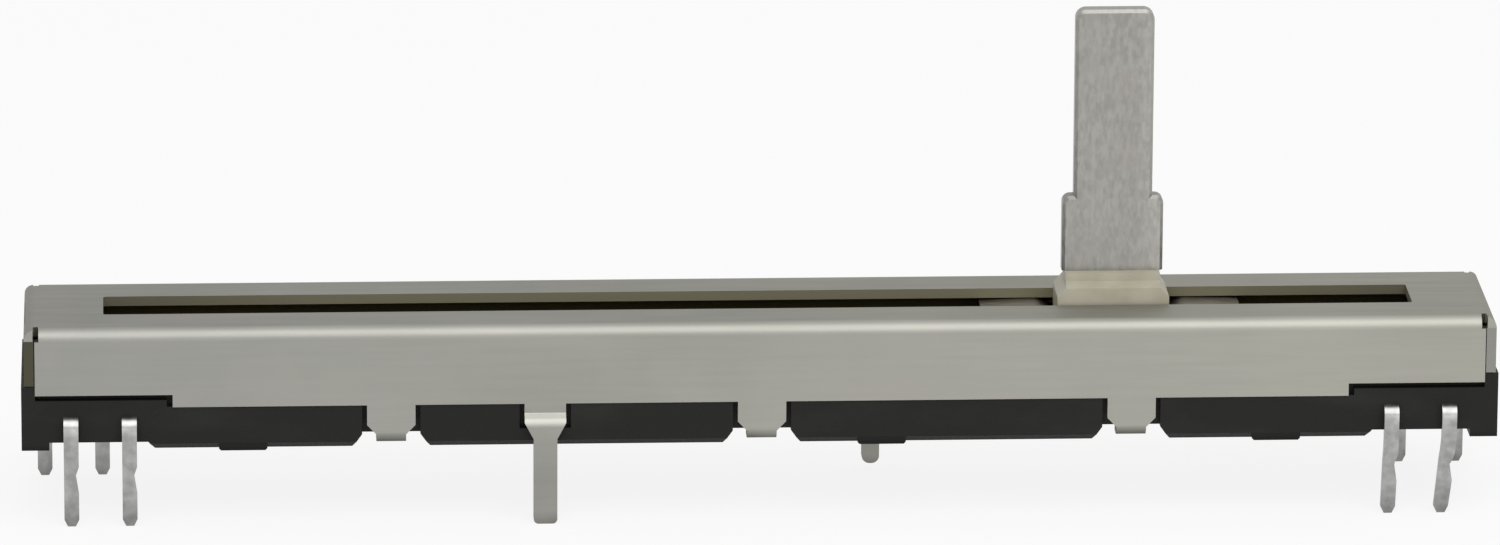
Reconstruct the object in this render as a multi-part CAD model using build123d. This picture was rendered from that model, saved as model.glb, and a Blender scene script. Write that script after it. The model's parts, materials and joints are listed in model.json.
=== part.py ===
from build123d import *
import os

# Dual slide potentiometer: two tracks worked by one metal lever with 60 mm of travel
# Millimetres. X runs along the body, the front is at -Y, and Z = 0 is the face of the circuit board.

# Travel of the lever, and the body beyond it at each end
travel = 60.0
end_allowance = 7.5
end_play = 0.475
carriage_x = 18.05

# Cover, folded from one sheet
cover_end_gap = 0.15
cover_width = 9.0
cover_top = 6.45
sheet = 0.5
bend_inside = 0.1
corner_gap = 0.05
corner_notch_width = 0.28
corner_notch_depth = 0.1
flange_edge = 2.35
notch_length = 7.5
notch_edge = 3.0
end_flange_edge = 3.5
slot_width = 3.3
slot_corner = 0.15

# Crimp tabs, three on each side
tab_count = 3
tab_pitch = 18.8
tab_width = 2.45
tab_tip_width = 1.5
tab_taper = 0.5
tab_foot = 0.75
tab_fold_bottom = 0.3

# Mounting legs of the cover
front_leg_x = -11.0
rear_leg_x = 6.1
leg_width = 2.1
leg_joggle_top = 1.74
leg_joggle_drop = 0.38
leg_joggle_out = 0.45
leg_joggle_radius = 0.3
leg_funnel_top = 1.45
leg_funnel_drop = 0.85
front_leg_stem = 1.2
front_leg_tip_z = -3.87
front_leg_tip_radius = 0.25
rear_leg_stem = 0.9
rear_leg_tip_z = -3.66
rear_leg_tip_radius = 0.4

# Moulded base
base_setback = 0.1
base_edge_chamfer = 0.3
pad_height = 0.1
pad_width = 2.45
pad_setback = 0.05
pad_places = (-26.3, 6.1, 26.2)
cover_fit = 0.05
notch_gap = 0.3
post_gap = 0.05
rim_top = 3.6
rim_wall = 0.6
recess_gap = 0.25
recess_chamfer = 0.5
recess_depth = 2.8
solder_notch_inset = 3.9
solder_notch_length = 5.0
solder_notch_depth = 0.41
solder_notch_chamfer = 0.35
stake_share = 0.7
stake_head_height = 0.12
stake_gap = 0.06
stake_places = (-24.0, 24.0)

# Board with its printed tracks, whose places and widths are shares of its half-width
board_thickness = 0.8
board_clearance = 0.05
print_thickness = 0.05
resistor_centre_share = 0.74
resistor_width_share = 0.333
collector_centre_share = 0.3
collector_width_share = 0.26
track_overrun = 1.2
pad_end_margin = 0.3

# Terminals, two at each end of each row
pin_width = 0.75
pin_thickness = 0.4
pin_pitch = 2.95
pin_bend_radius = 0.3
pin_tip_z = -3.84
pin_level = 1.67
pin_row_out = 0.35
pin_tip_out = 0.07
pin_kink_top = -0.6
pin_kink_drop = 0.8
pin_notch_top = -0.65
pin_notch_length = 1.5
pin_notch_depth = 0.14
pin_notch_slope = 0.45
pin_tip_taper = 0.35
front_pin_inset = 2.5
rear_pin_inset = 1.1
rear_outer_jog = 0.95
jog_clearance = 0.2
right_outer_lean = -0.34
right_inner_lean = -0.1
lug_fold = 0.65

# Carriage
carrier_length = 11.0
carrier_top = 5.2
carrier_side_gap = 0.15
carrier_chamfer = 0.3
slide_gap = 0.05
neck_length = 5.7
neck_side_gap = 0.15
neck_rise = 0.85
collar_length = 4.8
collar_width = 2.0
collar_slope = 0.25
collar_rise = 1.5

# Lever
lever_thickness = 1.0
lever_width = 4.0
lever_rise = 15.2
lever_corner = 0.55
lever_edge = 0.16
shoulder_width = 5.15
shoulder_rise = 5.43
shoulder_radius = 0.42
shank_width = 3.6
shank_depth = 1.2
shank_notch = 0.4

# Wipers
wiper_sheet = 0.12
wiper_plate_length = 2.4
wiper_plate_margin = 0.15
finger_width = 0.22
finger_pitch = 0.3
finger_count = 3
finger_reach = 2.0
finger_tip = 0.45
finger_tip_lift = 0.2
contact_gap = 0.03
wiper_peg_radius = 0.32
wiper_peg_head = 0.5
wiper_peg_head_height = 0.2
wiper_peg_spacing = 1.4

# Brake spring
spring_sheet = 0.15
spring_half_length = 6.6
spring_margin = 1.15
spring_flat = 3.7
spring_crest = 5.9
spring_tip_drop = 0.3
spring_window_gap = 0.12
spring_gap = 0.03

# Levels and faces that follow from the sizes above
base_end = travel / 2 + end_allowance
cover_end = base_end - cover_end_gap
slot_length = travel + neck_length + 2 * end_play
track_half_length = travel / 2 + track_overrun
front_outer_x = base_end - front_pin_inset
rear_outer_x = base_end - rear_pin_inset
underside = pad_height
ledge = flange_edge
cover_face = cover_width / 2
cover_inside = cover_face - sheet
bend_outside = bend_inside + sheet
cover_ceiling = cover_top - sheet
base_face = cover_face - base_setback
pin_row_y = base_face + pin_row_out
pin_tip_y = base_face + pin_tip_out
rim_face = cover_inside - cover_fit
rim_end = cover_end - sheet - cover_fit
cavity_face = rim_face - rim_wall
cavity_end = rim_end - rim_wall
board_seat = pin_level + pin_thickness / 2
board_top = board_seat + board_thickness
print_top = board_top + print_thickness
lug_level = print_top + pin_thickness / 2
board_face = cavity_face - board_clearance
resistor_y = resistor_centre_share * board_face
resistor_width = resistor_width_share * board_face
collector_y = collector_centre_share * board_face
collector_width = collector_width_share * board_face
stake_head_radius = collector_y - collector_width / 2 - stake_gap
stake_radius = stake_share * stake_head_radius
carrier_face = cover_inside - carrier_side_gap
carrier_bottom = rim_top + slide_gap
collar_top = cover_top + collar_rise


def block(x_low, x_high, y_low, y_high, z_low, z_high):
    """A square-edged block between its lowest and highest corners."""
    centre = Pos((x_low + x_high) / 2, (y_low + y_high) / 2, (z_low + z_high) / 2)
    return centre * Box(x_high - x_low, y_high - y_low, z_high - z_low)


def post(radius, x, y, z_low, z_high):
    """A round post that stands along Z."""
    return Pos(x, y, (z_low + z_high) / 2) * Cylinder(radius, z_high - z_low)


def across(outline, y_low, y_high):
    """A front-view outline (X, Z) made solid from y_low to y_high."""
    front_view = Plane((0, y_high, 0), x_dir=(1, 0, 0), z_dir=(0, -1, 0))
    return extrude(front_view * outline, y_high - y_low)


def along(section, x_low, x_high):
    """An end-view section (Y, Z) made solid from x_low to x_high."""
    end_view = Plane((x_low, 0, 0), x_dir=(0, 1, 0), z_dir=(1, 0, 0))
    return extrude(end_view * section, x_high - x_low)


def polygon(*points):
    """A flat face inside a closed run of straight lines."""
    return make_face(Polyline(*points, close=True))


def rear(part):
    """The same piece turned round to the rear of the body."""
    return Rot(0, 0, 180) * part


# Cover

def top_plate():
    """The flat top with a quarter bend along each edge and a notch at each corner."""
    flat_x = cover_end - bend_outside
    flat_y = cover_face - bend_outside
    flat = block(-flat_x, flat_x, -flat_y, flat_y, cover_ceiling, cover_top)
    ring = Circle(bend_outside) - Circle(bend_inside)
    quarter = ring & Pos(bend_outside / 2, bend_outside / 2) * Rectangle(bend_outside, bend_outside)
    bend_level = cover_top - bend_outside
    side_bend = along(Pos(flat_y, bend_level) * quarter, -flat_x, flat_x)
    end_bend = across(Pos(flat_x, bend_level) * quarter, corner_gap - cover_face, cover_face - corner_gap)
    plate = flat + side_bend + rear(side_bend) + end_bend + rear(end_bend)
    for side in (-1, 1):
        notch = block(flat_x - corner_notch_width / 2, flat_x + corner_notch_width / 2,
                      flat_y - corner_notch_depth, cover_face, bend_level, cover_top)
        notch = notch if side > 0 else mirror(notch, Plane.XZ)
        plate -= notch + rear(notch)
    slot = extrude(RectangleRounded(slot_length, slot_width, slot_corner), cover_top)
    return plate - slot


def bent_strip(path, outline):
    """Sheet that follows a path in the end view, cut to an outline in the front view."""
    section = along(trace(path, sheet), -base_end, base_end)
    return section & across(outline, -cover_width, cover_width)


def crimp_tab(x):
    """A tab that hangs from the front flange and is folded under the base."""
    middle = cover_face - sheet / 2
    fold = tab_fold_bottom + sheet / 2
    path = FilletPolyline(
        (-middle, flange_edge),
        (-middle, fold),
        (-middle + sheet / 2 + tab_foot, fold),
        radius=bend_inside + sheet / 2,
    )
    wide = tab_width / 2
    narrow = tab_tip_width / 2
    taper_end = tab_fold_bottom + sheet
    taper_start = taper_end + tab_taper
    outline = polygon(
        (x - wide, flange_edge),
        (x - wide, taper_start),
        (x - narrow, taper_end),
        (x - narrow, 0),
        (x + narrow, 0),
        (x + narrow, taper_end),
        (x + wide, taper_start),
        (x + wide, flange_edge),
    )
    return bent_strip(path, outline)


def leg(x, stem_width, tip_z, tip_radius):
    """A mounting leg that steps out from the front flange and narrows to its round-cornered stem."""
    middle = cover_face - sheet / 2
    path = FilletPolyline(
        (-middle, flange_edge),
        (-middle, leg_joggle_top),
        (-middle - leg_joggle_out, leg_joggle_top - leg_joggle_drop),
        (-middle - leg_joggle_out, tip_z),
        radius=leg_joggle_radius,
    )
    wide = leg_width / 2
    narrow = stem_width / 2
    funnel_bottom = leg_funnel_top - leg_funnel_drop
    outline = polygon(
        (x - wide, flange_edge),
        (x - wide, leg_funnel_top),
        (x - narrow, funnel_bottom),
        (x - narrow, tip_z),
        (x + narrow, tip_z),
        (x + narrow, funnel_bottom),
        (x + wide, leg_funnel_top),
        (x + wide, flange_edge),
    )
    outline = fillet(outline.vertices().group_by(Axis.Y)[0], tip_radius)
    return bent_strip(path, outline)


def flange(leg_part):
    """The front flange with its end notches and crimp tabs, and the leg it is given."""
    end = cover_end - sheet - corner_gap
    step = cover_end - notch_length
    outline = polygon(
        (-end, cover_top - bend_outside),
        (-end, notch_edge),
        (-step, notch_edge),
        (-step, flange_edge),
        (step, flange_edge),
        (step, notch_edge),
        (end, notch_edge),
        (end, cover_top - bend_outside),
    )
    part = across(outline, -cover_face, -cover_inside)
    for index in range(tab_count):
        part += crimp_tab((index - (tab_count - 1) / 2) * tab_pitch)
    return part + leg_part


def end_flange():
    """The flange folded down at the right-hand end."""
    half_width = cover_face - corner_gap
    return block(cover_end - sheet, cover_end, -half_width, half_width,
                 end_flange_edge, cover_top - bend_outside)


def cover():
    """The whole folded cover."""
    front_leg = leg(front_leg_x, front_leg_stem, front_leg_tip_z, front_leg_tip_radius)
    rear_leg = leg(-rear_leg_x, rear_leg_stem, rear_leg_tip_z, rear_leg_tip_radius)
    return (top_plate() + flange(front_leg) + rear(flange(rear_leg))
            + end_flange() + rear(end_flange()))


# Terminals

def terminal(x, lean, lug_x, lug_y):
    """One front terminal: a lug folded down on the board, a tail through the base and a notched pin."""
    path = FilletPolyline(
        (-lug_y + lug_fold, lug_level),
        (-lug_y, lug_level),
        (-lug_y, pin_level),
        (-pin_row_y, pin_level),
        (-pin_row_y, pin_kink_top),
        (-pin_tip_y, pin_kink_top - pin_kink_drop),
        (-pin_tip_y, pin_tip_z),
        radius=pin_bend_radius,
    )
    strip = along(trace(path, pin_thickness), x - base_end, x + base_end)
    half = pin_width / 2
    tip = half - pin_tip_taper / 2
    taper_top = pin_tip_z + pin_tip_taper
    notch_bottom = pin_notch_top - pin_notch_length
    outer_view = polygon(
        (x - half, board_seat),
        (x - half, underside),
        (x + lean - half, taper_top),
        (x + lean - tip, pin_tip_z),
        (x + lean + tip, pin_tip_z),
        (x + lean + half, taper_top),
        (x + lean / 2 + half, notch_bottom),
        (x + lean / 2 + half - pin_notch_depth, notch_bottom + 2 * pin_notch_slope),
        (x + lean / 4 + half - pin_notch_depth, pin_notch_top - pin_notch_slope),
        (x + lean / 4 + half, pin_notch_top),
        (x + half, underside),
        (x + half, board_seat),
    )
    jog_start = base_face - jog_clearance
    jog_end = lug_y + pin_bend_radius + pin_thickness
    plan = polygon(
        (x - half, -base_face),
        (x + half, -base_face),
        (x + half, -jog_start),
        (lug_x + half, -jog_end),
        (lug_x + half, -lug_y + lug_fold),
        (lug_x - half, -lug_y + lug_fold),
        (lug_x - half, -jog_end),
        (x - half, -jog_start),
    )
    pin = strip & across(outer_view, -cover_width, -base_face)
    tail = strip & extrude(plan, cover_top)
    return pin + tail


def terminal_places():
    """Each terminal's place, its lean to the right and the place of its lug, by name."""
    places = {}
    for row, outer_x, jog in (("front", front_outer_x, 0), ("rear", rear_outer_x, rear_outer_jog)):
        for side, name in ((-1, "left"), (1, "right")):
            bent = row == "front" and side > 0
            outer_lean = right_outer_lean if bent else 0
            inner_lean = right_inner_lean if bent else 0
            places[f"{row}_{name}_outer"] = (
                side * outer_x, outer_lean, side * (outer_x - jog), resistor_y + resistor_width / 2)
            places[f"{row}_{name}_inner"] = (
                side * (outer_x - pin_pitch), inner_lean, side * (outer_x - pin_pitch),
                collector_y + collector_width / 2)
    return places


def terminals():
    """All eight terminals by name."""
    made = {}
    for name, (x, lean, lug_x, pad_edge) in terminal_places().items():
        lug_y = pad_edge - pin_thickness / 2
        if name.startswith("front"):
            made[name] = terminal(x, lean, lug_x, lug_y)
        else:
            made[name] = rear(terminal(-x, lean, -lug_x, lug_y))
    return made


def lug_places():
    """The middle of each lug where it stands in the board, seen from above."""
    return [(lug_x, (pad_edge - pin_thickness / 2) * (-1 if name.startswith("front") else 1))
            for name, (_, _, lug_x, pad_edge) in terminal_places().items()]


def lug_hole(x, y, z_low, z_high):
    """The clear hole round a lug."""
    side = pin_width / 2 + board_clearance
    end = pin_thickness / 2 + board_clearance
    return block(x - side, x + side, y - end, y + end, z_low, z_high)


# Base

def recesses(leg_x):
    """What is cut from the front face of the base for the crimp tabs and the leg."""
    cut = Part()
    side = tab_width / 2 + recess_gap
    ceiling = tab_fold_bottom + sheet
    recess_end = base_face - recess_depth
    for index in range(tab_count):
        x = (index - (tab_count - 1) / 2) * tab_pitch
        cut += block(x - side, x + side, -base_face, -rim_face, underside, ledge)
        under = polygon(
            (x - side - recess_chamfer, underside),
            (x - side, ceiling),
            (x + side, ceiling),
            (x + side + recess_chamfer, underside),
        )
        cut += across(under, -base_face, -recess_end)
    side = leg_width / 2 + recess_gap
    recess_bottom = leg_funnel_top - leg_funnel_drop / 2
    cut += block(leg_x - side, leg_x + side, -base_face, -rim_face, recess_bottom, ledge)
    return cut


def solder_notch():
    """The notch under the right-hand terminals that keeps the moulding off the solder."""
    centre = base_end - solder_notch_inset
    low = centre - solder_notch_length / 2
    high = centre + solder_notch_length / 2
    outline = polygon(
        (low - solder_notch_chamfer, underside),
        (low, underside + solder_notch_depth),
        (high, underside + solder_notch_depth),
        (high, underside),
    )
    return across(outline, -base_face, base_face)


def standing_pad(x):
    """A low rib across the underside that holds the base off the board."""
    top = pad_width / 2
    foot = top - pad_height
    side = base_edge_chamfer + underside
    outline = polygon((x - top, side), (x - top, underside), (x - foot, 0), (x + foot, 0),
                      (x + top, underside), (x + top, side))
    face = base_face - pad_setback
    return across(outline, -face, face)


def base_slab():
    """The lower part of the base, chamfered below, with its end blocks and end posts."""
    slab = block(-base_end, base_end, -base_face, base_face, underside, ledge)
    corner = polygon(
        (-base_face, underside),
        (-base_face, underside + base_edge_chamfer),
        (-base_face + base_edge_chamfer, underside),
    )
    chamfer_end = base_end - solder_notch_inset
    edge = along(corner, -chamfer_end, chamfer_end)
    slab -= edge + rear(edge)
    block_start = cover_end - notch_length + notch_gap
    block_top = notch_edge - notch_gap
    end_block = block(block_start, base_end, -base_face, base_face, ledge, block_top)
    end_post = block(rim_end, base_end, -base_face, base_face, ledge, end_flange_edge - post_gap)
    raised = end_block + end_post
    return slab + raised + rear(raised)


def base(terminal_parts):
    """The black moulding, with the terminals moulded in."""
    rim = block(-rim_end, rim_end, -rim_face, rim_face, ledge, rim_top)
    part = base_slab() + rim
    part -= block(-cavity_end, cavity_end, -cavity_face, cavity_face, board_seat, rim_top)
    for x in pad_places:
        part += standing_pad(x)
    part -= recesses(front_leg_x) + rear(recesses(-rear_leg_x))
    part -= solder_notch() + rear(solder_notch())
    for x in stake_places:
        part += post(stake_radius, x, 0, board_seat, board_top)
        part += post(stake_head_radius, x, 0, board_top, board_top + stake_head_height)
    for piece in terminal_parts:
        part -= piece
    return part


# Board and printed tracks

def element_board():
    """The laminate strip that carries both printed tracks."""
    half_length = cavity_end - board_clearance
    part = block(-half_length, half_length, -board_face, board_face, board_seat, board_top)
    for x, y in lug_places():
        part -= lug_hole(x, y, board_seat, board_top)
    for x in stake_places:
        part -= post(stake_radius + board_clearance, x, 0, board_seat, board_top)
    return part


def track(y, width):
    """One printed track between its two end pads."""
    return block(-track_half_length, track_half_length, y - width / 2, y + width / 2, board_top, print_top)


def end_pads():
    """The printed pads that join the tracks to the lugs."""
    pads = []
    for x, y in lug_places():
        outer = abs(y) > (resistor_y + collector_y) / 2
        track_y, width = (resistor_y, resistor_width) if outer else (collector_y, collector_width)
        middle = track_y if y > 0 else -track_y
        far = abs(x) + pin_width / 2 + pad_end_margin
        low, high = (track_half_length, far) if x > 0 else (-far, -track_half_length)
        pad = block(low, high, middle - width / 2, middle + width / 2, board_top, print_top)
        pads.append(pad - lug_hole(x, y, board_top, print_top))
    return pads


# Carriage, drawn about X = 0 and then set at its place in the travel

def lever():
    """The stamped lever with its shoulder and the notched shank inside the carrier."""
    blade = lever_width / 2
    shoulder = shoulder_width / 2
    shank = shank_width / 2
    top = cover_top + lever_rise
    shoulder_top = cover_top + shoulder_rise
    foot = carrier_top - shank_depth
    notch_middle = (foot + collar_top) / 2
    outline = Pos(0, (collar_top + top) / 2) * Rectangle(lever_width, top - collar_top)
    outline = fillet(outline.vertices().group_by(Axis.Y)[-1], lever_corner)
    wide = Pos(0, (collar_top + shoulder_top) / 2) * Rectangle(shoulder_width, shoulder_top - collar_top)
    wide = fillet(wide.vertices().group_by(Axis.Y)[-1], shoulder_radius)
    above = across(outline + wide, -lever_thickness / 2, lever_thickness / 2)
    rims = above.edges().filter_by_position(Axis.Y, -lever_thickness, -lever_thickness / 2 + lever_edge)
    rims += above.edges().filter_by_position(Axis.Y, lever_thickness / 2 - lever_edge, lever_thickness)
    above = chamfer([edge for edge in rims if edge.center().Z > collar_top + lever_edge], lever_edge)
    below = polygon(
        (-shank, collar_top),
        (-shank, notch_middle + shank_notch),
        (-shank + shank_notch, notch_middle),
        (-shank, notch_middle - shank_notch),
        (-shank, foot),
        (shank, foot),
        (shank, notch_middle - shank_notch),
        (shank - shank_notch, notch_middle),
        (shank, notch_middle + shank_notch),
        (shank, collar_top),
    )
    return above + across(below, -lever_thickness / 2, lever_thickness / 2)


def carrier(lever_part):
    """The moulded carrier: a slider below the cover and a neck through the slot."""
    half_length = carrier_length / 2
    body = block(-half_length, half_length, -carrier_face, carrier_face, carrier_bottom, carrier_top)
    body = chamfer(body.edges().filter_by(Axis.Z), carrier_chamfer)
    neck_width = slot_width - 2 * neck_side_gap
    shoulder = cover_top + neck_rise
    neck = block(-neck_length / 2, neck_length / 2, -neck_width / 2, neck_width / 2, carrier_top, shoulder)
    lower = Pos(0, 0, shoulder) * Rectangle(neck_length, neck_width)
    upper = Pos(0, 0, shoulder + collar_slope) * Rectangle(collar_length, collar_width)
    slope = loft([lower, upper])
    collar = block(-collar_length / 2, collar_length / 2, -collar_width / 2, collar_width / 2,
                   shoulder + collar_slope, collar_top)
    part = body + neck + slope + collar - lever_part
    for x, y in wiper_pegs():
        part += post(wiper_peg_radius, x, y, carrier_bottom - wiper_sheet, carrier_bottom)
        part += post(wiper_peg_head, x, y, carrier_bottom - wiper_sheet - wiper_peg_head_height,
                     carrier_bottom - wiper_sheet)
    return part


def wiper_pegs():
    """The places of the four pegs that hold the wipers, two for each."""
    x = finger_reach + wiper_plate_length / 2
    middle = (resistor_y + collector_y) / 2
    return [(x, side * (middle + step * wiper_peg_spacing / 2)) for side in (-1, 1) for step in (-1, 1)]


def wiper(side):
    """A spring wiper: one plate with a comb of fingers for each of its two tracks."""
    level = carrier_bottom - wiper_sheet / 2
    contact = print_top + contact_gap + wiper_sheet / 2
    path = FilletPolyline(
        (finger_reach + wiper_plate_length / 2, level),
        (finger_reach, level),
        (0, contact),
        (-finger_tip, contact + finger_tip_lift),
        radius=2 * wiper_sheet,
    )
    finger = trace(path, wiper_sheet)
    comb = (finger_count - 1) / 2 * finger_pitch + finger_width / 2
    low = collector_y - comb - wiper_plate_margin
    high = resistor_y + comb + wiper_plate_margin
    part = block(finger_reach, finger_reach + wiper_plate_length, low, high,
                 carrier_bottom - wiper_sheet, carrier_bottom)
    for track_y in (collector_y, resistor_y):
        for index in range(finger_count):
            y = track_y + (index - (finger_count - 1) / 2) * finger_pitch
            part += across(finger, y - finger_width / 2, y + finger_width / 2)
    if side < 0:
        part = mirror(part, Plane.XZ)
    for x, y in wiper_pegs():
        part -= post(wiper_peg_radius, x, y, carrier_bottom - wiper_sheet, carrier_bottom)
    return part


def brake_spring():
    """The leaf spring on the carrier whose two wings press up on the cover."""
    low = carrier_top + spring_sheet / 2
    crest = cover_ceiling - spring_gap - spring_sheet / 2
    half = [(spring_flat, low), (spring_crest, crest), (spring_half_length, crest - spring_tip_drop)]
    left = [(-x, z) for x, z in reversed(half)]
    path = FilletPolyline(*left, *half, radius=2 * spring_sheet)
    part = across(trace(path, spring_sheet), spring_margin - carrier_face, carrier_face - spring_margin)
    window_x = neck_length / 2 + spring_window_gap
    window_y = slot_width / 2 - neck_side_gap + spring_window_gap
    return part - block(-window_x, window_x, -window_y, window_y, carrier_top, cover_top)


def build():
    """Every piece of the potentiometer by name."""
    pins = terminals()
    lever_part = lever()
    carriage = {
        "carrier": carrier(lever_part),
        "lever": lever_part,
        "wiper_front": wiper(-1),
        "wiper_rear": wiper(1),
        "brake_spring": brake_spring(),
    }
    pieces = {
        "cover": cover(),
        "base": base(pins.values()),
        "element_board": element_board(),
        "resistor_track_front": track(-resistor_y, resistor_width),
        "resistor_track_rear": track(resistor_y, resistor_width),
        "collector_track_front": track(-collector_y, collector_width),
        "collector_track_rear": track(collector_y, collector_width),
        "track_end_pads": Compound(children=end_pads()),
    }
    for name, part in pins.items():
        pieces[f"terminal_{name}"] = part
    for name, part in carriage.items():
        pieces[name] = Pos(carriage_x, 0, 0) * part
    return pieces


os.makedirs("parts", exist_ok=True)
for name, part in build().items():
    export_step(part, f"parts/{name}.step")
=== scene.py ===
import json
from math import cos, radians, sin, sqrt

import bmesh
import bpy
from mathutils import Matrix, Vector

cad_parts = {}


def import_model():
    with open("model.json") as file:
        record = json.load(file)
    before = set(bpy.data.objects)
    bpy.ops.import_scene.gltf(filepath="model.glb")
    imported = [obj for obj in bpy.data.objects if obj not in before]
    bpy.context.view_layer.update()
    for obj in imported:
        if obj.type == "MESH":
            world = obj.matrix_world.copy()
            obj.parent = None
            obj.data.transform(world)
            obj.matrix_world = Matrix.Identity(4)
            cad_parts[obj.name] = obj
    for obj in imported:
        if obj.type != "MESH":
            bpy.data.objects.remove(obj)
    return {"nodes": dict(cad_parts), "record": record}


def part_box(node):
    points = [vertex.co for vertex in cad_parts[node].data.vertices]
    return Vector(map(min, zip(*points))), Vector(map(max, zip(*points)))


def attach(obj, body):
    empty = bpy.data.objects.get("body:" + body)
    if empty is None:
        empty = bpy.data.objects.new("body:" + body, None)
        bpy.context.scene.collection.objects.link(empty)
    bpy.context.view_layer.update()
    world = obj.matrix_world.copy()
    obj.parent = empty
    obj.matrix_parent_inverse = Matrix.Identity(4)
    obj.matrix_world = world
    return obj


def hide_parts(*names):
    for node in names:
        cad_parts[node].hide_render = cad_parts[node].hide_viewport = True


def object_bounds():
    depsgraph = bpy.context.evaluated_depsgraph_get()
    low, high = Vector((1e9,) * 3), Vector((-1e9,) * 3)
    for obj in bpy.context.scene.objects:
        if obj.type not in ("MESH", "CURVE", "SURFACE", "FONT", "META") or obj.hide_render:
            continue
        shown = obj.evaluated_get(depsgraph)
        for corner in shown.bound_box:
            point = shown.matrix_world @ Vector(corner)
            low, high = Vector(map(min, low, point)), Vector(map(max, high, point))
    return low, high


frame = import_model()
size_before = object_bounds()

# Metres, in the frame of the CAD part
mm = 0.001

# Further out than any piece, and a range that leaves nothing out
beyond = 1.0
anywhere = (-beyond, beyond)

# Camera
camera_azimuth = radians(-3.09)
camera_elevation = radians(15.79)
camera_roll = radians(0.31)
camera_distance = 595.4 * mm
camera_target = Vector((-0.41, 0.0, 7.88)) * mm
camera_range = (0.01, 20.0)
picture_width = 1500
pixels_per_metre = 19631.0
sensor_width = 36.0

# Light, with the elevations between which the reflected surround gets whiter
sky_level = 0.45
horizon_level = 0.79
horizon_band = (radians(20), radians(50))
key_size = 0.7
key_distance = 0.6
key_elevation = radians(48)
key_azimuth = radians(8)
key_power = 2.4

# Floor
floor_size = 6.0
floor_own_light = 0.86

# Small distances, for a margin, for a cut and for joining vertices
hair = 0.02 * mm
cut_width = hair / 10
weld = hair / 100

# Where the cover's sheet is cut, bent or hidden
cover_sheet = 0.5 * mm
cover_bend = 0.6 * mm
cover_face = 4.5 * mm
cover_inside = cover_face - cover_sheet + hair
corner_gap = 0.05 * mm
corner_push = corner_gap - cut_width
corner_steps = 5
slot_reach = 1.9 * mm
notch_depth = 0.25 * mm
notch_reach = 0.16 * mm
inner_ledge = 3.6 * mm
# Distances from the middle over which the slot wall darkens towards its ends: painted shade of the slot's
# end walls
wall_shade_span = (22 * mm, 33 * mm)

# Carrier's neck, whose ends lean in towards the lever from this level up
neck_lean_start = 6.8 * mm
neck_top = 7.3 * mm
neck_edge_angle = radians(30)
collar_reach = 2.42 * mm

# Brake spring, measured from the middle of the carriage
spring_sheet = 0.15 * mm
spring_window = (2.97 * mm, 1.62 * mm)
spring_crest = 3.9 * mm
spring_droop = 0.1 * mm
spring_steps = 6
spring_edge_angle = radians(40)

# Heights between which the painted shade and painted highlights change
base_edge = (0.1 * mm, 0.4 * mm)
leg_root = (-1.0 * mm, 1.0 * mm)
leg_joggle = (1.25 * mm, 1.95 * mm)
leg_tip = (-3.8 * mm, -3.2 * mm)
tab_fold = (0.2 * mm, 1.0 * mm)
pin_tip = (-3.7 * mm, -2.2 * mm)
# Heights over which the pins' painted highlight rises below the bend and settles over it
pin_rise = (0.9 * mm, 1.35 * mm)
pin_fall = (1.35 * mm, 1.6 * mm)
shoulder_top = (11.4 * mm, 12.0 * mm)

# Distances to the right of the lever's middle between which it gets brighter: painted light on its right
# side
lever_lit_side = (1.1 * mm, 2.2 * mm)

# Brightness of the painted shade and painted highlights at those places, as a share of the finish
base_edge_shade = 0.3
leg_root_shade = 0.88
leg_tip_shade = 0.65
pin_tip_shade = 0.6
pin_highlight_peak = 1.5
pin_highlight_tail = 0.75
lever_shade = 0.98
lever_lit_side_shade = 1.14

# What the painted highlight adds on the joggles, and what the painted shade takes from the folds and the
# lever's shoulders
joggle_highlight_gain = 0.4
fold_shade_loss = 0.5
shoulder_shade_loss = 0.3

# How far the faces there look up, from -1 for straight down to 1 for straight up
joggle_tilt = (0.0, 0.6)
fold_tilt = (-0.7, 0.0)
shoulder_tilt = (0.1, 0.6)

# On the same scale, the most that a slot wall looks up and the least that a cut end looks to a side
wall_tilt = 0.5
end_tilt = 0.7

# Rosy tint, as a share of the colour, and the part of the noise that its patches take up
rosy_share = 0.4
rosy_band = (0.5, 0.7)

# Part of the noise that the scuffs take up
scuff_band = (0.5, 0.75)

# Brightness of the darkest and the brightest streaks and clouds
unevenness = (0.97, 1.03)

# Roughness
steel_rough = (0.5, 0.56)
bare_rough = 0.7
black_rough = (0.45, 0.6)
tin_rough = (0.32, 0.40)
nickel_rough = (0.36, 0.46)
cream_rough = (0.38, 0.5)
laminate_rough = 0.5
carbon_rough = (0.5, 0.65)
silver_rough = (0.42, 0.55)
bronze_rough = (0.42, 0.52)

# How deep light of each colour goes into the acetal, and how much of it does
cream_depth = (0.6 * mm, 0.4 * mm, 0.2 * mm)
cream_glow = 0.15

# Shares of metal and of plain reflection
slot_cut_metal = 0.3
silver_metal = 0.7
usual_gloss = 0.5
black_gloss = 0.2
carbon_gloss = 0.3

# Grain of the finishes
steel_streak = 0.25 * mm
steel_cloud = 9 * mm
steel_patch = 5 * mm
black_grain = 0.09 * mm
black_scuff = 2.5 * mm
tin_wave = 0.5 * mm
nickel_mottle = 0.2 * mm
nickel_patch = 2.5 * mm
cream_cloud = 1.2 * mm
laminate_fibre = 0.12 * mm
carbon_grain = 0.04 * mm
silver_grain = 0.05 * mm
bronze_streak = 0.15 * mm

# Relief of the finishes
steel_relief = 0.001 * mm
black_relief = 0.008 * mm
tin_relief = 0.008 * mm
nickel_relief = 0.003 * mm
laminate_relief = 0.004 * mm
ink_relief = 0.003 * mm

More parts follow.
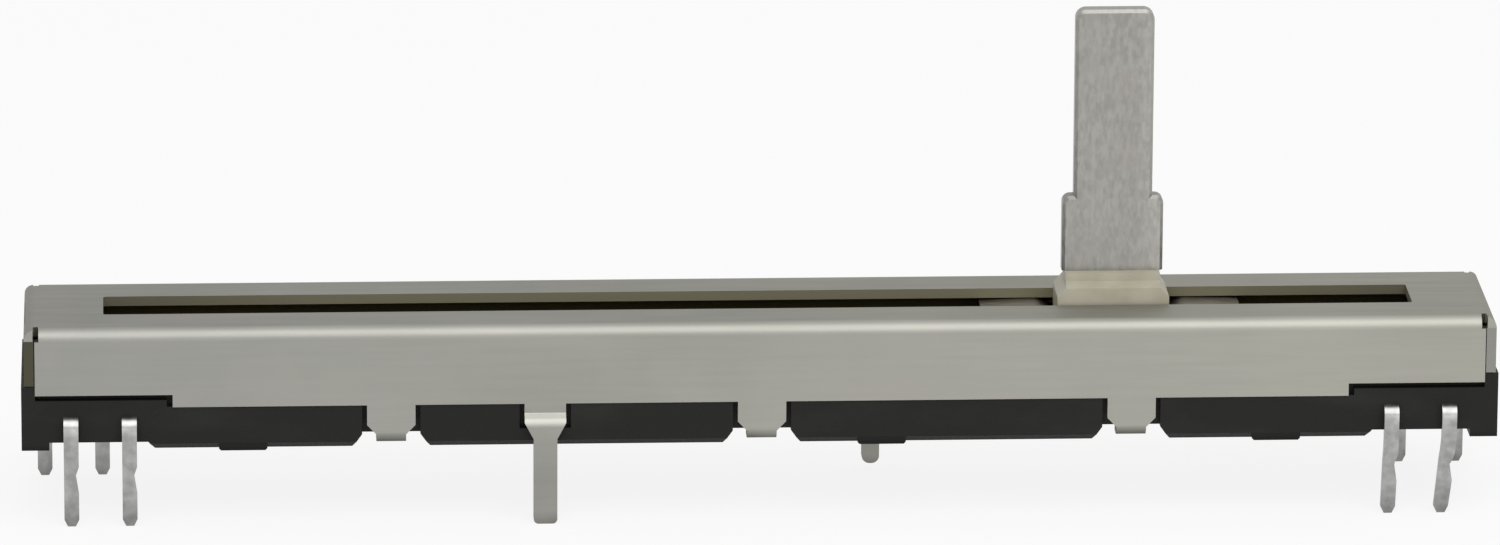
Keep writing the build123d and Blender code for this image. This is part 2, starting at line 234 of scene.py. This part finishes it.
# Colours
white = (1.0, 1.0, 1.0, 1.0)
floor_colour = (0.97, 0.97, 0.97, 1.0)
steel = (0.350, 0.350, 0.325, 1.0)
# The steel at the right end, lighter and warmer: painted light, as if more light fell from the right
steel_painted_lit = (0.398, 0.395, 0.350, 1.0)
steel_rosy = (0.405, 0.375, 0.345, 1.0)
steel_edge_tint = (0.5, 0.5, 0.5, 1.0)
slot_cut = (0.24, 0.225, 0.15, 1.0)
# The slot wall near the slot's ends, darker: painted shade
slot_cut_shaded = (0.17, 0.16, 0.11, 1.0)
end_cut = (0.105, 0.10, 0.07, 1.0)
# The cut strip at the right end, lighter: painted reflection of a lighter surround
end_cut_painted_lit = (0.32, 0.315, 0.29, 1.0)
# The cover's inner faces, darkened: painted shade inside the cover
steel_inside_shaded = (0.08, 0.07, 0.035, 1.0)
black = (0.012, 0.012, 0.011, 1.0)
black_scuffed = (0.02, 0.02, 0.018, 1.0)
tin = (0.45, 0.45, 0.44, 1.0)
tin_dull = (0.33, 0.33, 0.32, 1.0)
nickel = (0.405, 0.40, 0.373, 1.0)
nickel_dull = (0.325, 0.32, 0.298, 1.0)
nickel_rosy = (0.39, 0.35, 0.325, 1.0)
cream = (0.48, 0.45, 0.36, 1.0)
cream_dark = (0.43, 0.40, 0.305, 1.0)
laminate_light = (0.30, 0.17, 0.075, 1.0)
laminate_dark = (0.20, 0.105, 0.045, 1.0)
carbon = (0.018, 0.018, 0.019, 1.0)
silver = (0.55, 0.54, 0.51, 1.0)
bronze = (0.62, 0.42, 0.22, 1.0)
bronze_dull = (0.42, 0.27, 0.14, 1.0)
grey_bronze = (0.28, 0.257, 0.212, 1.0)
grey_bronze_dull = (0.20, 0.181, 0.147, 1.0)


# Materials

class Finish:
    """A node material on the Principled shader, with the few steps that every finish here uses."""

    def __init__(self, name, metallic, specular=usual_gloss):
        self.material = bpy.data.materials.new(name)
        self.material.use_nodes = True
        self.nodes = self.material.node_tree.nodes
        self.links = self.material.node_tree.links
        self.shader = self.nodes["Principled BSDF"]
        self.shader.inputs["Metallic"].default_value = metallic
        self.shader.inputs["Specular IOR Level"].default_value = specular
        self.place = self.nodes.new("ShaderNodeTexCoord")

    def feed(self, socket, value):
        """Sets a socket, or joins it to another node."""
        if isinstance(value, bpy.types.NodeSocket):
            self.links.new(value, socket)
        else:
            socket.default_value = value

    def math(self, operation, first, second=0.0):
        """One step of arithmetic."""
        node = self.nodes.new("ShaderNodeMath")
        node.operation = operation
        self.feed(node.inputs[0], first)
        self.feed(node.inputs[1], second)
        return node.outputs[0]

    def product(self, first, *others):
        """All the values multiplied."""
        for other in others:
            first = self.math("MULTIPLY", first, other)
        return first

    def noise(self, grain, detail=4.0, stretch=(1.0, 1.0, 1.0)):
        """Noise with a grain of this many metres, drawn out along each axis by stretch."""
        mapping = self.nodes.new("ShaderNodeMapping")
        self.links.new(self.place.outputs["Object"], mapping.inputs["Vector"])
        mapping.inputs["Scale"].default_value = [1 / (grain * share) for share in stretch]
        node = self.nodes.new("ShaderNodeTexNoise")
        self.links.new(mapping.outputs["Vector"], node.inputs["Vector"])
        node.inputs["Scale"].default_value = 1.0
        node.inputs["Detail"].default_value = detail
        return node.outputs[0]

    def spread(self, value, low, high, start=0.35, end=0.65):
        """Maps a value between start and end onto low to high."""
        node = self.nodes.new("ShaderNodeMapRange")
        self.feed(node.inputs["Value"], value)
        node.inputs["From Min"].default_value = start
        node.inputs["From Max"].default_value = end
        node.inputs["To Min"].default_value = low
        node.inputs["To Max"].default_value = high
        return node.outputs[0]

    def blend(self, share, first, second):
        """Mixes two colours, all first at a share of 0."""
        node = self.nodes.new("ShaderNodeMix")
        node.data_type = "RGBA"
        self.feed(node.inputs[0], share)
        self.feed(node.inputs[6], first)
        self.feed(node.inputs[7], second)
        return node.outputs[2]

    def scale(self, colour, factor):
        """A colour made lighter or darker by a factor."""
        node = self.nodes.new("ShaderNodeVectorMath")
        node.operation = "SCALE"
        self.feed(node.inputs[0], colour)
        self.feed(node.inputs["Scale"], factor)
        return node.outputs[0]

    def axis(self, vector, letter):
        """One coordinate of a vector."""
        node = self.nodes.new("ShaderNodeSeparateXYZ")
        self.links.new(self.place.outputs[vector], node.inputs[0])
        return node.outputs[letter]

    def bump(self, height, depth):
        """Relief of this depth in metres."""
        node = self.nodes.new("ShaderNodeBump")
        node.inputs["Strength"].default_value = 1.0
        node.inputs["Distance"].default_value = depth
        self.links.new(height, node.inputs["Height"])
        self.links.new(node.outputs["Normal"], self.shader.inputs["Normal"])

    def surface(self, colour, roughness):
        """Sets the colour and the roughness."""
        self.feed(self.shader.inputs["Base Color"], colour)
        self.feed(self.shader.inputs["Roughness"], roughness)
        return self.material

    def region(self, across, along, up):
        """1 inside a box that is the same on both sides and at both ends; each pair is in metres."""
        share = 1.0
        for letter, (low, high) in (("Y", across), ("X", along), ("Z", up)):
            value = self.axis("Object", letter)
            if letter != "Z":
                value = self.math("ABSOLUTE", value)
            above = self.math("GREATER_THAN", value, low)
            below = self.math("LESS_THAN", value, high)
            share = self.product(share, self.product(above, below))
        return share

    def facing(self, letter, operation, limit):
        """1 where the face's normal lies within a limit along an axis, or beyond it."""
        return self.math(operation, self.math("ABSOLUTE", self.axis("Normal", letter)), limit)


def middle_of(node):
    """Where a node's middle lies along the part."""
    low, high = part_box(node)
    return (low.x + high.x) / 2


def cover_shade(finish, streaks):
    """How the sheet's brightness changes over its streaks and clouds, with painted shade down the legs and
    on the folds and a painted highlight on the joggles.
    """
    height = finish.axis("Object", "Z")
    tilt = finish.axis("Normal", "Z")
    uneven = finish.product(finish.spread(streaks, *unevenness),
                            finish.spread(finish.noise(steel_cloud, detail=3.0), *unevenness))
    # Darker down the legs below the base and towards their tips: painted shade
    legs = finish.product(finish.spread(height, leg_root_shade, 1.0, *leg_root),
                          finish.spread(height, leg_tip_shade, 1.0, *leg_tip))
    # Up-facing faces of the leg joggles brighter: painted highlight
    joggle_painted_highlight = finish.product(finish.region(anywhere, anywhere, leg_joggle),
                               finish.spread(tilt, 0.0, joggle_highlight_gain, *joggle_tilt))
    # Down-facing faces of the tabs' folds darker: painted shade
    fold_painted_shade = finish.product(finish.region(anywhere, anywhere, tab_fold),
                            finish.spread(tilt, fold_shade_loss, 0.0, *fold_tilt))
    bends = finish.math("SUBTRACT", finish.math("ADD", joggle_painted_highlight, 1.0), fold_painted_shade)
    return finish.product(uneven, legs, bends)


def cover_plating():
    """Plated steel sheet with faint rolling streaks along its length, bare where it is cut."""
    finish = Finish("cover_plating", metallic=1.0)
    finish.shader.inputs["Specular Tint"].default_value = steel_edge_tint
    low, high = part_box("cover")
    top = high.z - cover_sheet
    end = high.x - cover_sheet
    bend = high.z - cover_bend
    slot_wall = finish.product(finish.facing("Z", "LESS_THAN", wall_tilt),
                               finish.region((-beyond, slot_reach), anywhere, (top - hair, beyond)))
    end_side = finish.product(finish.facing("Y", "GREATER_THAN", end_tilt),
                              finish.region(anywhere, (end - hair, beyond), (-beyond, bend)))
    notch = finish.region((cover_inside - notch_depth, beyond),
                          (high.x - cover_bend - notch_reach, end), (bend - hair, high.z - hair))
    # The cover's inner faces are painted darker: painted shade inside the cover
    inside = finish.region((-beyond, cover_inside), anywhere, (inner_ledge, top + hair))
    streaks = finish.noise(steel_streak, detail=6.0, stretch=(30.0, 1.0, 1.0))
    along = finish.axis("Object", "X")
    # Lighter and warmer towards the right end: painted light, standing in for light that falls more
    # strongly from the right
    painted_light_along = finish.spread(along, 0.0, 1.0, start=low.x, end=high.x)
    colour = finish.scale(finish.blend(painted_light_along, steel, steel_painted_lit), cover_shade(finish, streaks))
    rosy = finish.spread(finish.noise(steel_patch, detail=2.0), 0.0, rosy_share, *rosy_band)
    colour = finish.blend(rosy, colour, steel_rosy)
    # The slot wall darkens towards the slot's ends: painted shade cast by the end walls
    dark = finish.spread(finish.math("ABSOLUTE", along), 0.0, 1.0, *wall_shade_span)
    wall_colour = finish.blend(dark, slot_cut, slot_cut_shaded)
    # The cut strips along the ends are darker at the left end and lighter at the right: painted reflection
    # of a darker surround on the left and a lighter one on the right
    end_reflection_colour = finish.blend(finish.math("GREATER_THAN", along, 0.0), end_cut, end_cut_painted_lit)
    cuts = ((inside, steel_inside_shaded), (end_side, end_reflection_colour), (notch, end_cut), (slot_wall, wall_colour))
    for share, own in cuts:
        colour = finish.blend(share, colour, own)
    metal = finish.spread(slot_wall, 1.0, slot_cut_metal, start=0.0, end=1.0)
    finish.feed(finish.shader.inputs["Metallic"], metal)
    finish.bump(streaks, steel_relief)
    bare = finish.math("MAXIMUM", slot_wall, finish.math("MAXIMUM", end_side, notch))
    rough = finish.math("MAXIMUM", finish.spread(streaks, *steel_rough), finish.product(bare, bare_rough))
    return finish.surface(colour, rough)


def base_moulding():
    """Black glass-filled moulding with a fine spark-eroded face."""
    finish = Finish("base_moulding", metallic=0.0, specular=black_gloss)
    grain = finish.noise(black_grain)
    scuffs = finish.noise(black_scuff, detail=6.0, stretch=(2.5, 1.0, 1.0))
    finish.bump(grain, black_relief)
    colour = finish.blend(finish.spread(scuffs, 0.0, 1.0, *scuff_band), black, black_scuffed)
    # Darker along the bottom edge: painted shade
    edge = finish.spread(finish.axis("Object", "Z"), base_edge_shade, 1.0, *base_edge)
    return finish.surface(finish.scale(colour, edge), finish.spread(grain, *black_rough))


def terminal_tin():
    """Tinned brass strip with a soft, slightly uneven coat."""
    finish = Finish("terminal_tin", metallic=1.0)
    waves = finish.noise(tin_wave, detail=3.0)
    finish.bump(waves, tin_relief)
    colour = finish.blend(finish.spread(waves, 0.0, 1.0), tin_dull, tin)
    height = finish.axis("Object", "Z")
    # Darker towards the tips: painted shade; brighter below the bend, most at its foot, and a little
    # brighter over it: painted highlight
    shade = finish.product(finish.spread(height, pin_tip_shade, 1.0, *pin_tip),
                           finish.spread(height, 1.0, pin_highlight_peak, *pin_rise),
                           finish.spread(height, 1.0, pin_highlight_tail, *pin_fall))
    return finish.surface(finish.scale(colour, shade), finish.spread(waves, *tin_rough))


def lever_plating():
    """Nickel-plated lever, tumbled to a soft mottle."""
    finish = Finish("lever_plating", metallic=1.0)
    mottle = finish.noise(nickel_mottle, detail=5.0, stretch=(1.0, 1.0, 2.5))
    finish.bump(mottle, nickel_relief)
    colour = finish.blend(finish.spread(mottle, 0.0, 1.0), nickel_dull, nickel)
    rosy = finish.spread(finish.noise(nickel_patch, detail=2.0), 0.0, rosy_share, *rosy_band)
    colour = finish.blend(rosy, colour, nickel_rosy)
    # Brighter on the right side: painted light, as if light fell from the right
    start, end = (middle_of("lever") + reach for reach in lever_lit_side)
    across = finish.spread(finish.axis("Object", "X"), lever_shade, lever_lit_side_shade, start, end)
    # Up-facing faces on the shoulders' tops darker: painted shade
    dull = finish.product(finish.region(anywhere, anywhere, shoulder_top),
                          finish.spread(finish.axis("Normal", "Z"), 0.0, shoulder_shade_loss, *shoulder_tilt))
    colour = finish.scale(colour, finish.product(across, finish.math("SUBTRACT", 1.0, dull)))
    return finish.surface(colour, finish.spread(mottle, *nickel_rough))


def carrier_moulding():
    """Natural acetal, cream and slightly waxy."""
    finish = Finish("carrier_moulding", metallic=0.0)
    finish.shader.inputs["Subsurface Weight"].default_value = cream_glow
    finish.shader.inputs["Subsurface Radius"].default_value = cream_depth
    finish.shader.inputs["Subsurface Scale"].default_value = 1.0
    clouds = finish.noise(cream_cloud)
    colour = finish.blend(finish.spread(clouds, 0.0, 1.0), cream_dark, cream)
    return finish.surface(colour, finish.spread(clouds, *cream_rough))


def laminate():
    """Paper laminate with its fibres along the strip."""
    finish = Finish("laminate", metallic=0.0)
    fibres = finish.noise(laminate_fibre, detail=6.0, stretch=(8.0, 1.0, 1.0))
    finish.bump(fibres, laminate_relief)
    colour = finish.blend(finish.spread(fibres, 0.0, 1.0), laminate_dark, laminate_light)
    return finish.surface(colour, laminate_rough)


def carbon_print():
    """Matt carbon ink."""
    finish = Finish("carbon_print", metallic=0.0, specular=carbon_gloss)
    grain = finish.noise(carbon_grain)
    finish.bump(grain, ink_relief)
    return finish.surface(carbon, finish.spread(grain, *carbon_rough))


def silver_print():
    """Silver ink, dull and granular."""
    finish = Finish("silver_print", metallic=silver_metal)
    grain = finish.noise(silver_grain)
    finish.bump(grain, ink_relief)
    return finish.surface(silver, finish.spread(grain, *silver_rough))


def bronze_sheet(name, dull, bright):
    """Bronze strip with rolling streaks."""
    finish = Finish(name, metallic=1.0)
    streaks = finish.noise(bronze_streak, detail=5.0, stretch=(12.0, 1.0, 1.0))
    colour = finish.blend(finish.spread(streaks, 0.0, 1.0), dull, bright)
    return finish.surface(colour, finish.spread(streaks, *bronze_rough))


def dress():
    """Gives every CAD node its finish."""
    finishes = {
        "cover_plating": cover_plating(),
        "base_moulding": base_moulding(),
        "terminal_tin": terminal_tin(),
        "lever_plating": lever_plating(),
        "carrier_moulding": carrier_moulding(),
        "laminate": laminate(),
        "carbon_print": carbon_print(),
        "silver_print": silver_print(),
        "wiper_bronze": bronze_sheet("wiper_bronze", bronze_dull, bronze),
        "spring_bronze": bronze_sheet("spring_bronze", grey_bronze_dull, grey_bronze),
    }
    for subpart in frame["record"]["subparts"]:
        materials = frame["nodes"][subpart["node"]].data.materials
        materials.clear()
        materials.append(finishes[subpart["material_slot"]])


# Pieces that replace a CAD node

def placed(name, data):
    """A new object in the scene."""
    made = bpy.data.objects.new(name, data)
    bpy.context.scene.collection.objects.link(made)
    return made


def dressed_mesh(work, name, node, edge_angle):
    """A mesh shaded smooth up to an angle, with the finish of the node that it replaces."""
    mesh = bpy.data.meshes.new(name)
    work.to_mesh(mesh)
    work.free()
    if "custom_normal" in mesh.attributes:
        mesh.attributes.remove(mesh.attributes["custom_normal"])
    mesh.shade_smooth()
    mesh.set_sharp_from_angle(angle=edge_angle)
    mesh.materials.append(frame["nodes"][node].active_material)
    return mesh


def cover_piece():
    """The cover with its end bends rounded down at the rear and its rear corners pressed shut."""
    mesh = frame["nodes"]["cover"].data.copy()
    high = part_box("cover")[1]
    flat_x = high.x - cover_bend
    flat_y = cover_face - cover_bend
    bend_level = high.z - cover_bend
    flange_end = high.x - cover_sheet - corner_gap
    work = bmesh.new()
    work.from_mesh(mesh)
    # The faces of a CAD mesh aren't joined; their borders stay sharp when they are
    for edge in work.edges:
        edge.smooth = not edge.is_boundary
    bmesh.ops.remove_doubles(work, verts=work.verts, dist=weld)
    for step in range(corner_steps):
        rear_ends = [face for face in work.faces if any(
            abs(vertex.co.x) > flat_x + hair and vertex.co.y > flat_y + hair
            and vertex.co.z > bend_level + hair for vertex in face.verts)]
        edges = {edge for face in rear_ends for edge in face.edges}
        vertices = {vertex for face in rear_ends for vertex in face.verts}
        level = flat_y + cover_bend * step / corner_steps
        bmesh.ops.bisect_plane(work, geom=[*vertices, *edges, *rear_ends], dist=cut_width,
                               plane_co=(0, level, 0), plane_no=(0, 1, 0))
    for vertex in work.verts:
        past = vertex.co.y - flat_y
        if past > 0 and vertex.co.z > bend_level and abs(vertex.co.x) > flat_x:
            vertex.co.z = min(vertex.co.z, bend_level + sqrt(cover_bend ** 2 - past ** 2))
        if past > 0 and vertex.co.z < bend_level + hair and abs(abs(vertex.co.x) - flange_end) < hair:
            vertex.co.x += corner_push if vertex.co.x > 0 else -corner_push
    bmesh.ops.dissolve_degenerate(work, dist=weld, edges=work.edges)
    work.to_mesh(mesh)
    work.free()
    made = placed("cover_sheet", mesh)
    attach(made, "frame")
    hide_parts("cover")


def carrier_piece():
    """The carrier with the ends of its neck sloped in, to be as narrow at the top as the collar."""
    middle = middle_of("carrier")
    work = bmesh.new()
    work.from_mesh(frame["nodes"]["carrier"].data)
    bmesh.ops.bisect_plane(work, geom=[*work.verts, *work.edges, *work.faces], dist=cut_width,
                           plane_co=(0, 0, neck_lean_start), plane_no=(0, 0, 1))
    for vertex in work.verts:
        past = vertex.co.x - middle
        if vertex.co.z > neck_top - hair and abs(past) > collar_reach:
            vertex.co.x = middle + (collar_reach if past > 0 else -collar_reach)
    made = placed("carrier_moulded", dressed_mesh(work, "carrier_moulded", "carrier", neck_edge_angle))
    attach(made, "carriage")
    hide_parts("carrier")


def spring_wing(tip, seat, crest):
    """Points along the upper face of a wing, which rises from its root to a crest and droops to its tip."""
    root = spring_window[0]
    wing = []
    for step in range(spring_steps + 1):
        share = step / spring_steps
        wing.append((root + (spring_crest - root) * share,
                     seat + (crest - seat) * sin(radians(90) * share)))
    for step in range(1, spring_steps + 1):
        share = step / spring_steps
        wing.append((spring_crest + (tip - spring_crest) * share, crest - spring_droop * share ** 2))
    return wing


def spring_piece():
    """The brake spring with wings that rise beside the neck and run along under the cover to their tips."""
    low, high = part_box("brake_spring")
    middle = middle_of("brake_spring")
    window_y = spring_window[1]
    wing = spring_wing(high.x - middle, low.z + spring_sheet, high.z)
    path = [(-reach, height) for reach, height in reversed(wing)] + wing
    across = (low.y, -window_y, window_y, high.y)
    work = bmesh.new()
    rows = [[work.verts.new((middle + reach, y, height)) for y in across] for reach, height in path]
    for place, (near, far) in enumerate(zip(rows, rows[1:])):
        at_neck = place == len(wing) - 1
        for lane in range(len(across) - 1):
            if not (at_neck and lane == 1):
                work.faces.new((near[lane], far[lane], far[lane + 1], near[lane + 1]))
    work.normal_update()
    bmesh.ops.solidify(work, geom=work.faces[:], thickness=spring_sheet)
    bmesh.ops.recalc_face_normals(work, faces=work.faces)
    made = placed("spring_leaf", dressed_mesh(work, "spring_leaf", "brake_spring", spring_edge_angle))
    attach(made, "carriage")
    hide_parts("brake_spring")


# Room

def seen_share(nodes, links):
    """Light Path steps that give 1 for camera, glossy and transmission rays."""
    path = nodes.new("ShaderNodeLightPath")
    share = path.outputs["Is Camera Ray"]
    for kind in ("Is Glossy Ray", "Is Transmission Ray"):
        either = nodes.new("ShaderNodeMath")
        either.operation = "MAXIMUM"
        links.new(share, either.inputs[0])
        links.new(path.outputs[kind], either.inputs[1])
        share = either.outputs[0]
    return share


def world():
    """A surround that is seen white, reflects a little greyer low down and lights at a plain level."""
    room = bpy.data.worlds.new("studio")
    bpy.context.scene.world = room
    room.use_nodes = True
    nodes, links = room.node_tree.nodes, room.node_tree.links
    lit = nodes["Background"]
    lit.inputs["Color"].default_value = white
    lit.inputs["Strength"].default_value = sky_level
    seen = nodes.new("ShaderNodeBackground")
    seen.inputs["Color"].default_value = white
    place = nodes.new("ShaderNodeTexCoord")
    split = nodes.new("ShaderNodeSeparateXYZ")
    links.new(place.outputs["Generated"], split.inputs[0])
    rise = nodes.new("ShaderNodeMapRange")
    links.new(split.outputs["Z"], rise.inputs["Value"])
    rise.inputs["From Min"].default_value = sin(horizon_band[0])
    rise.inputs["From Max"].default_value = sin(horizon_band[1])
    rise.inputs["To Min"].default_value = horizon_level
    rise.inputs["To Max"].default_value = 1.0
    level = nodes.new("ShaderNodeMath")
    level.operation = "MAXIMUM"
    path = nodes.new("ShaderNodeLightPath")
    links.new(path.outputs["Is Camera Ray"], level.inputs[0])
    links.new(rise.outputs[0], level.inputs[1])
    links.new(level.outputs[0], seen.inputs["Strength"])
    mix = nodes.new("ShaderNodeMixShader")
    links.new(seen_share(nodes, links), mix.inputs[0])
    links.new(lit.outputs[0], mix.inputs[1])
    links.new(seen.outputs[0], mix.inputs[2])
    links.new(mix.outputs[0], nodes["World Output"].inputs["Surface"])


def floor_material():
    """A pale floor that is near white where it is seen, with the object's shadow, and clear from below."""
    material = bpy.data.materials.new("floor")
    material.use_nodes = True
    nodes, links = material.node_tree.nodes, material.node_tree.links
    nodes.clear()
    matt = nodes.new("ShaderNodeBsdfDiffuse")
    matt.inputs["Color"].default_value = floor_colour
    own = nodes.new("ShaderNodeEmission")
    own.inputs["Strength"].default_value = 1.0
    share = nodes.new("ShaderNodeMath")
    share.operation = "MULTIPLY"
    links.new(seen_share(nodes, links), share.inputs[0])
    share.inputs[1].default_value = floor_own_light
    pale = nodes.new("ShaderNodeMixShader")
    links.new(share.outputs[0], pale.inputs[0])
    links.new(matt.outputs[0], pale.inputs[1])
    links.new(own.outputs[0], pale.inputs[2])
    clear = nodes.new("ShaderNodeBsdfTransparent")
    geometry = nodes.new("ShaderNodeNewGeometry")
    both = nodes.new("ShaderNodeMixShader")
    links.new(geometry.outputs["Backfacing"], both.inputs[0])
    links.new(pale.outputs[0], both.inputs[1])
    links.new(clear.outputs[0], both.inputs[2])
    output = nodes.new("ShaderNodeOutputMaterial")
    links.new(both.outputs[0], output.inputs["Surface"])
    return material


def floor():
    """The floor that the pins stand on."""
    bpy.ops.mesh.primitive_plane_add(size=floor_size, location=(0, 0, size_before[0].z))
    plane = bpy.context.object
    plane.name = "floor"
    plane.data.materials.append(floor_material())


def direction(azimuth, elevation):
    """A unit vector from the object, with azimuth 0 at the front and positive to the right."""
    return Vector((sin(azimuth) * cos(elevation), -cos(azimuth) * cos(elevation), sin(elevation)))


def key_lamp():
    """A square area lamp above the front that faces the object."""
    data = bpy.data.lights.new("key", "AREA")
    data.energy = key_power
    data.size = key_size
    made = placed("key", data)
    toward = direction(key_azimuth, key_elevation)
    made.location = toward * key_distance
    made.rotation_mode = "QUATERNION"
    made.rotation_quaternion = toward.to_track_quat("Z", "Y")


def camera():
    """The photograph's viewpoint."""
    back = direction(camera_azimuth, camera_elevation)
    level = Vector((cos(camera_azimuth), sin(camera_azimuth), 0))
    upward = back.cross(level)
    right = level * cos(camera_roll) + upward * sin(camera_roll)
    up = upward * cos(camera_roll) - level * sin(camera_roll)
    data = bpy.data.cameras.new("camera")
    data.sensor_width = sensor_width
    data.lens = sensor_width * pixels_per_metre * camera_distance / picture_width
    data.clip_start, data.clip_end = camera_range
    made = placed("camera", data)
    turn = Matrix((right, up, back)).transposed().to_4x4()
    made.matrix_world = Matrix.Translation(camera_target + back * camera_distance) @ turn
    bpy.context.scene.camera = made


dress()
cover_piece()
carrier_piece()
spring_piece()
world()
floor()
key_lamp()
camera()
bpy.context.scene.view_settings.view_transform = "Standard"
